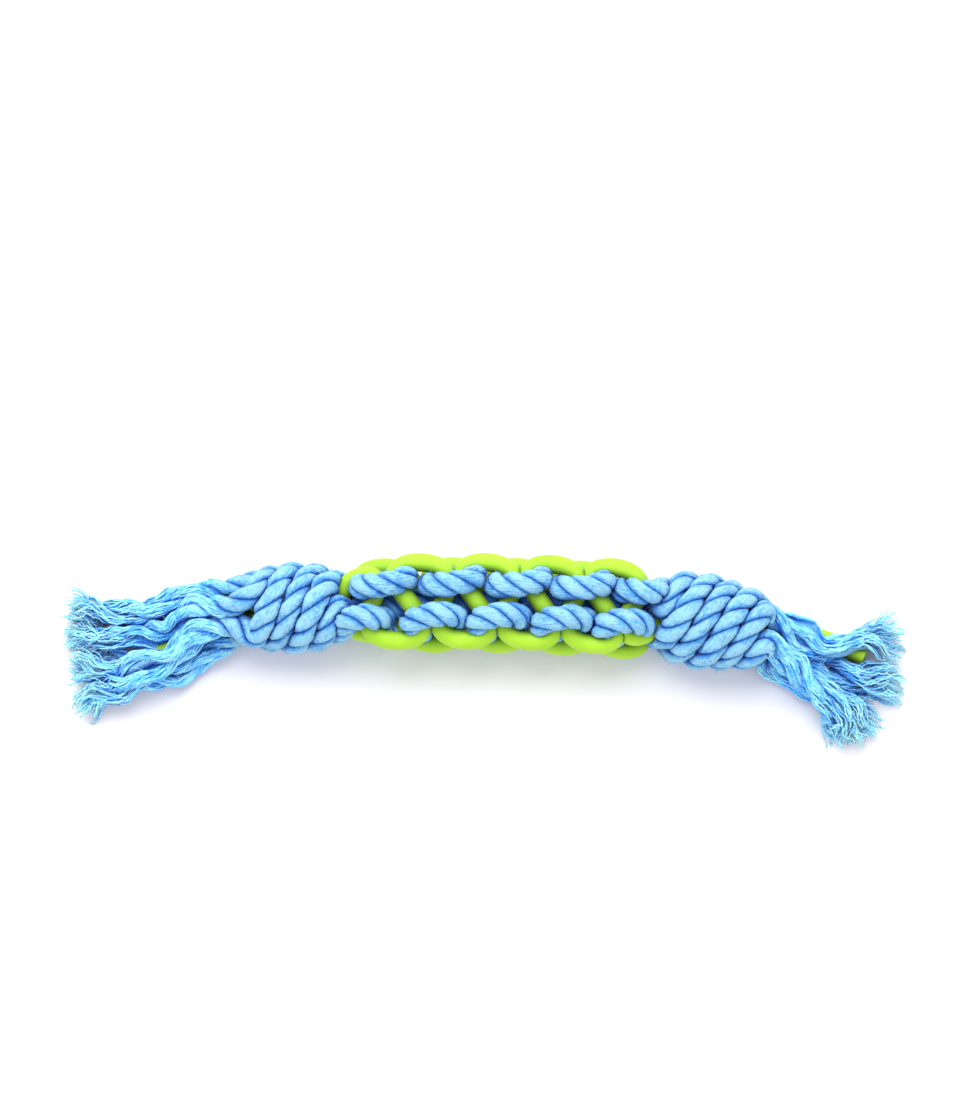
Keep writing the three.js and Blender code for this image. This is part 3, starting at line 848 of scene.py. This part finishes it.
def held_rope(name):
    """A rope from tail to tail through knots and weave: three laid plies with a pile of hairs."""
    strand = strands[name]
    rng = np.random.default_rng(HELD_SEED + ROPES.index(name))
    start, end = strand.mouths["left"], strand.mouths["right"]
    runs = np.linspace(start, end, int((end - start) / RING_STEP) + 1)
    full = lerp(1, WOVEN_FULLNESS, np.interp(runs, strand.run, strand.woven))
    shares = np.minimum(press_shares(strand, runs), full[:, None])
    ends = ease((runs - start) / KNOT_LAY) * ease((end - runs) / KNOT_LAY)
    turn = strand.lay_angle(runs) + ripple(rng, runs, *LAY_RIPPLE) * ends
    skins = [held_ply(strand, runs, shares, turn + ply * TURN / PLIES, ends, rng) for ply in range(PLIES)]
    shell = Shell()
    for rings in skins:
        # The crest share paints shade into the grooves between the plies.
        shell.tube(rings, runs, ply_around(runs), ply_crests)
    add_hairs(shell, skins, strand.at(runs), runs, rng)
    piece = shell.make(f"{name}_held", rope_material)
    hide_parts(STRANDS[name][2])


for name in ROPES:
    held_rope(name)

# Rods
ROD_SIDES = 28
ROD_EDGE = 0.5


def rod(name):
    """A solid rod from tip to tip, with a small round edge at its square cuts."""
    strand = strands[name]
    runs = np.linspace(0, strand.length, int(strand.length / RING_STEP) + 1)
    runs = np.sort(np.concatenate([runs, [ROD_EDGE, strand.length - ROD_EDGE]]))
    theta = np.tile(angles_round(ROD_SIDES), (len(runs), 1))
    from_edge = 1 - np.clip(np.minimum(runs, strand.length - runs) / ROD_EDGE, 0, 1)
    bevel = 1 - (1 - np.sqrt(1 - from_edge**2)) * ROD_EDGE / ROD_RADIUS
    kept = share_at(press_shares(strand, runs), np.arange(len(runs))[:, None], theta)
    side, across, _ = strand.axes(runs)
    rings = ring_points(strand.at(runs), side, across, theta, kept * strand.radius * bevel[:, None])
    shell = Shell()
    shell.tube(above_floor(rings), runs)
    piece = shell.make(f"{name}_round", rod_material)
    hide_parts(name)


for name in ("upper_rod", "lower_rod"):
    rod(name)

# Tails: where they start inside the held rope, and how their plies open past the knot
START_INSIDE, START_SCALE, START_LENGTH = 1.5, 0.95, 4
OPEN_LENGTH, OPEN_LAY, LAY_OPEN_SHARE = 24, 66, 0.8
# An opened ply takes the same crest share all round, so the shade painted in its grooves fades out.
OPEN_CENTRE, OPEN_PLY_RADIUS, OPEN_CREST = 0.62, 0.46, 0.7
FRAY_LENGTH = 36
# The core of plies thins under its yarns, from just before the knot's end, and again towards the tip.
CORE_TAPER, TIP_TAPER, TAPER_AHEAD, TAPER_OVER = 0.82, 0.25, 1, 8
# Plies stray to the side, up and round, in waves of these lengths and sizes, and fan out at the tip.
PLY_SWAY, PLY_HEAVE, PLY_TWIST = ((37, 23, 14), 1), ((31, 19), 0.6), ((43, 29), 0.5)
PLY_FAN = 2.6
# How late a change comes on: powers of the share of the way through the fray
FAN_POWER, CORE_FADE_POWER, SPREAD_POWER, DRIFT_POWER, STRAY_POWER = 1.3, 1.5, 1.5, 1.6, 1.8

# Yarns
LOCKS, YARNS_IN_LOCK = 7, 5
YARN_RADIUS, YARN_SIDES, YARN_STEP, YARN_AHEAD = 0.44, 5, 1.3, 1
YARN_SECTION, YARN_PITCH, YARN_CREST = 0.43, 38, 0.78
YARN_SPREAD, YARN_TIP_SCALE, YARN_SCALES = 0.55, 0.62, (0.85, 1.12)
# A lock's drift to the side and up, how far its tip falls short or reaches past, and its waves
LOCK_DRIFT, LOCK_TIPS = np.array([[1.8], [0.9]]), (-7, 3.5)
LOCK_SWAY, LOCK_HEAVE = ((11, 17, 28), 1), ((15, 23), 0.4)
# The same for a yarn in its lock, and how often and how much further one strays
YARN_DRIFT, YARN_TIPS = np.array([[0.9], [0.5]]), (-2.5, 2)
YARN_TURN, YARN_DEPTH = ((27, 16), 0.25), ((9, 14), 0.12)
YARN_SWAY, YARN_HEAVE = ((6.5, 11), 0.34), ((8, 13), 0.2)
STRAY_CHANCE, STRAY_TIMES = 0.15, 2.2
# The pale tips
TIP_FADE, TIP_FADE_POWER, TIP_FADES = 21, 1.3, (0.4, 1)
# Yarns of the outermost ply that part from the rope: how far past the knot, and how far to the far side
DETOURS = {
    ("left", "far_rope"): (34, -4), ("left", "upper_heart"): (26, -4.5), ("left", "near_rope"): (32, 6),
    ("left", "lower_heart"): (34, 6), ("right", "upper_heart"): (4, 4.5),
}
DETOUR_LENGTH, DETOUR_RETURN = 16, 0.4

# Loose fibres: how high and how far aside they start, where they lead, and how they curl and hump
LOOSE_FIBRES, LOOSE_RADIUS, LOOSE_SIDES, LOOSE_POINTS = 3, 0.11, 4, 12
LOOSE_LENGTHS, LOOSE_HEIGHTS, LOOSE_ASIDE = (5, 10), (1.5, 3), 2.5
LOOSE_LEADS, LOOSE_SLANT, LOOSE_CURL, LOOSE_HUMP = (0.2, 1), 0.8, 2.4, 1.8
LOOSE_MARGIN = 6


class Tail:
    """The free rope past a knot, by steps from the tail's mouth to its tip."""

    def __init__(self, end, name):
        self.end, self.name, self.strand = end, name, strands[name]
        self.sign = outward(end)
        self.rng = np.random.default_rng(list(TAIL_ROUTES).index(end) * SEEDS_PER_END + ROPES.index(name))
        mouth = self.strand.mouths[end]
        self.long = abs((0 if end == "left" else self.strand.length) - mouth)
        self.hidden = abs(self.strand.exits[end] - mouth)
        inside = np.arange(-START_INSIDE, 0, RING_STEP / 2)
        self.steps = np.concatenate([inside, np.linspace(0, self.long, int(self.long / RING_STEP) + 1)])
        self.runs = mouth + self.sign * self.steps
        clipped = np.clip(self.runs, 0, self.strand.length)
        self.shares = press_shares(self.strand, clipped)
        self.centres = self.strand.at(clipped)
        self.side, self.across, self.along = self.strand.axes(clipped)
        self.level = unit(np.cross(UP, self.along))
        self.open_plies()
        # The steps of the yarns' points, the ring nearest to each, and how loose the yarns are there
        first = self.hidden - YARN_AHEAD
        self.use = np.linspace(first, self.long, int((self.long - first) / YARN_STEP))
        self.row = np.clip(np.searchsorted(self.steps, self.use), 0, len(self.steps) - 1)
        self.loose = self.fringe[self.row]

    def open_plies(self):
        """How the plies open, thin and turn. Towards the tips they lie side by side on the floor."""
        rng, steps, free = self.rng, self.steps, self.steps - self.hidden
        self.opened = ease(free / OPEN_LENGTH)
        self.fringe = np.clip((steps - (self.long - FRAY_LENGTH)) / FRAY_LENGTH, 0, 1)
        self.start_scale = lerp(START_SCALE, 1, ease((steps + START_INSIDE) / START_LENGTH))
        thin = lerp(CORE_TAPER, TIP_TAPER, ease(self.fringe))
        self.taper = lerp(1, thin, ease((free + TAPER_AHEAD) / TAPER_OVER))
        sways = np.array([ripple(rng, steps, *PLY_SWAY) for _ in range(PLIES)]) * self.opened
        fans = np.sort(rng.uniform(-1, 1, PLIES))
        fans = (fans - fans.mean())[:, None] * self.fringe**FAN_POWER * PLY_FAN
        sways = sways - sways.mean(axis=0) + fans
        heaves = np.array([ripple(rng, steps, *PLY_HEAVE) for _ in range(PLIES)]) * self.opened
        self.spans = self.level * sways[..., None] + UP * (heaves - heaves.mean(axis=0))[..., None]
        # The lay slows down as the plies open.
        lay = lerp(KNOT_LAY, OPEN_LAY, ease(free / (OPEN_LENGTH * LAY_OPEN_SHARE)))
        self.turned = self.strand.lay_angle(self.runs[0]) + self.sign * turned_along(lay, steps)
        self.turned = self.turned + ripple(rng, steps, *PLY_TWIST) * self.opened

    def spots(self, ply, x, y, row):
        """Points from places x, y in a ply's section, in shares of the rope's radius. x and y hold a row of
        places for each of the tail's rings that row names."""
        centre = lerp(PLY_CENTRE, OPEN_CENTRE, self.opened[row])[:, None]
        theta = self.turned[row][:, None] + ply * TURN / PLIES + np.arctan2(y, centre + x)
        kept = share_at(self.shares, row[:, None], theta)
        reach = np.hypot(centre + x, y) * self.strand.radius * kept * self.start_scale[row][:, None]
        middle = self.centres[row] + self.spans[ply][row]
        return ring_points(middle, self.side[row], self.across[row], theta, reach)

    def ply_middle(self, ply, row):
        middle = np.zeros((len(row), 1))
        return self.spots(ply, middle, middle, row)[:, 0]

    def core(self):
        """The three plies, which turn from laid ones into round ones as they open."""
        shell = Shell()
        opened, order = self.opened[:, None], slice(None, None, self.sign)
        shape_x = lerp(PLY_X, OPEN_PLY_RADIUS * np.cos(PLY_ANGLES), opened) * self.taper[:, None]
        shape_y = lerp(PLY_Y, OPEN_PLY_RADIUS * np.sin(PLY_ANGLES), opened) * self.taper[:, None]
        around = ply_around(self.runs)[order]
        # The shade painted in the grooves evens out as the plies open.
        crest = lerp(ply_crests, OPEN_CREST, opened)[order]
        for ply in range(PLIES):
            rings = above_floor(self.spots(ply, shape_x, shape_y, np.arange(len(self.runs))))
            shell.tube(rings[order], self.runs[order], around, crest, self.fringe[order] ** CORE_FADE_POWER)
        return shell

    def outer_ply(self, distance, direction):
        """The ply that lies furthest in a direction, 1 for far and -1 for near, this far past the knot."""
        row = np.searchsorted(self.steps, [self.hidden + distance])
        offsets = [self.ply_middle(ply, row)[0] - self.centres[row[0]] for ply in range(PLIES)]
        return int(np.argmax(np.array(offsets) @ self.level[row[0]] * direction))

    def add_lock(self, shell, ply, lock, parting):
        """A lock of yarns on a ply, which parts from the rope by so much at each step."""
        rng, use, row, loose = self.rng, self.use, self.row, self.loose
        middle = self.ply_middle(ply, row)
        drift = rng.normal(0, 1, 2)[:, None] * LOCK_DRIFT * loose**DRIFT_POWER
        lock_tip = rng.uniform(*LOCK_TIPS)
        sway = ripple(rng, use, *LOCK_SWAY)
        heave = ripple(rng, use, *LOCK_HEAVE)
        for index in range(YARNS_IN_LOCK):
            in_lock = (index - (YARNS_IN_LOCK - 1) / 2) / YARNS_IN_LOCK
            angle = (lock + in_lock) / LOCKS * TURN - self.sign * (use - use[0]) / YARN_PITCH * TURN
            angle = angle + ripple(rng, use, *YARN_TURN)
            section = YARN_SECTION * (1 + ripple(rng, use, *YARN_DEPTH))
            x, y = (section * np.cos(angle))[:, None], (section * np.sin(angle))[:, None]
            spot = self.spots(ply, x, y, row)[:, 0]
            spot = spot + (spot - middle) * (loose**SPREAD_POWER * YARN_SPREAD)[:, None]
            stray = rng.normal(0, 1, 2)[:, None] * (STRAY_TIMES if rng.random() < STRAY_CHANCE else 1)
            out, lift = drift + stray * YARN_DRIFT * loose**STRAY_POWER
            out = out + (sway + ripple(rng, use, *YARN_SWAY)) * loose + parting
            lift = lift + (heave + ripple(rng, use, *YARN_HEAVE)) * loose
            longer = loose**2 * (lock_tip + rng.uniform(*YARN_TIPS)) * self.sign
            spot = spot + self.level[row] * out[:, None] + UP * lift[:, None]
            spot = spot + self.along[row] * longer[:, None]
            radius = YARN_RADIUS * lerp(1, YARN_TIP_SCALE, loose**2) * rng.uniform(*YARN_SCALES)
            tip = np.clip((use - (self.long - TIP_FADE)) / TIP_FADE, 0, 1) ** TIP_FADE_POWER
            tip = tip * rng.uniform(*TIP_FADES)
            spot = above_floor(spot, radius + FLOOR_GAP)
            shell.tube(yarn_rings(spot, radius, YARN_SIDES), use, crest=YARN_CREST, tip=tip)

    def add_loose_fibre(self, shell):
        """A single fibre that curls away from the tail."""
        rng = self.rng
        row = self.row[rng.integers(len(self.use) // 3, len(self.use) - LOOSE_MARGIN)]
        level = self.level[row]
        base = self.centres[row] + UP * rng.uniform(*LOOSE_HEIGHTS) + level * rng.normal(0, LOOSE_ASIDE)
        lead = self.along[row] * self.sign * rng.uniform(*LOOSE_LEADS)
        lead = unit(lead + level * rng.normal(0, LOOSE_SLANT))
        turn = rng.normal(0, LOOSE_CURL)
        share = np.linspace(0, 1, LOOSE_POINTS)[:, None]
        curve = lead * np.sin(share * turn) + np.cross(UP, lead) * (1 - np.cos(share * turn))
        line = base + rng.uniform(*LOOSE_LENGTHS) * curve / turn
        line = line + UP * np.sin(share * math.pi) * rng.uniform(0, LOOSE_HUMP)
        line = above_floor(line, LOOSE_RADIUS + FLOOR_GAP)
        rings = yarn_rings(line, np.full(LOOSE_POINTS, LOOSE_RADIUS), LOOSE_SIDES)
        shell.tube(rings, share[:, 0], tip=HAIR_FADE)

    def yarns(self):
        """Yarns that lie round each ply in locks, which fan out towards the tip, and a few loose fibres."""
        shell = Shell()
        start, aside = DETOURS.get((self.end, self.name), (0, 0))
        parting = ease((self.use - self.hidden - start) / DETOUR_LENGTH) * aside
        parting = parting * (1 - DETOUR_RETURN * self.loose)
        outer = self.outer_ply(start + DETOUR_LENGTH, np.sign(aside))
        for ply in range(PLIES):
            for lock in range(LOCKS):
                parts = ply == outer and lock < LOCKS / 2
                self.add_lock(shell, ply, lock, parting if parts else 0)
        for _ in range(LOOSE_FIBRES):
            self.add_loose_fibre(shell)
        return shell


def make_tail(end, name):
    tail = Tail(end, name)
    core = tail.core().make(f"{end}_tail_{name}", rope_material)
    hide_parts(f"{end}_tail_of_{STRANDS[name][2]}")
    fray_piece = tail.yarns().make(f"{end}_yarns_{name}", yarn_material)


for end in TAIL_ROUTES:
    for name in ROPES:
        make_tail(end, name)

# Floor
FLOOR_SIZE_METRES = 6
FLOOR_COLOUR = (0.965, 0.945, 0.975, 1)
half = FLOOR_SIZE_METRES / 2
floor_corners = [(-half, -half, 0), (half, -half, 0), (half, half, 0), (-half, half, 0)]
floor_mesh = bpy.data.meshes.new("floor")
floor_mesh.from_pydata(floor_corners, [], [(0, 1, 2, 3)])
floor = add("floor", floor_mesh)
floor_material, floor_tree, floor_shader = graph("floor")
fill(floor_tree, floor_shader, {"Base Color": FLOOR_COLOUR, "Roughness": 1, "Specular IOR Level": 0})
floor_mesh.materials.append(floor_material)

# Light from all round: soft on the toy, plain white where the camera, a gloss or a clear piece sees it
SOFT_LIGHT = {"Color": (0.99, 0.985, 1, 1), "Strength": 0.8}
WHITE_LIGHT = {"Color": (1, 1, 1, 1), "Strength": 1}
world = bpy.data.worlds.new("studio")
bpy.context.scene.world = world
world.use_nodes = True
sky = world.node_tree
sky.nodes.clear()
ray = node(sky, "LightPath").outputs
seen = reckon(sky, "MAXIMUM", ray["Is Camera Ray"], ray["Is Glossy Ray"])
seen = reckon(sky, "MAXIMUM", seen, ray["Is Transmission Ray"])
soft = node(sky, "Background", SOFT_LIGHT).outputs[0]
white = node(sky, "Background", WHITE_LIGHT).outputs[0]
both = node(sky, "MixShader", {0: seen, 1: soft, 2: white}).outputs[0]
node(sky, "OutputWorld", {0: both})

# Lamps: place and width in metres, power in watts, and colour
LAMPS = {
    "key": ((-0.3, 1.0, 1.5), 1.6, 31.5, (1, 1, 1)),
    "fill": ((0.4, -1.3, 0.9), 1.4, 3, (0.98, 0.97, 1)),
}


def area_light(name, at, size, power, colour):
    """A round lamp that looks at the toy."""
    data = bpy.data.lights.new(name, "AREA")
    data.shape = "DISK"
    data.size = size
    data.energy = power
    data.color = colour
    lamp = add(name, data)
    lamp.location = at
    lamp.rotation_euler = (-Vector(at)).to_track_quat("-Z", "Y").to_euler()


for name, settings in LAMPS.items():
    area_light(name, *settings)

scene = bpy.context.scene
scene.view_settings.view_transform = "Standard"
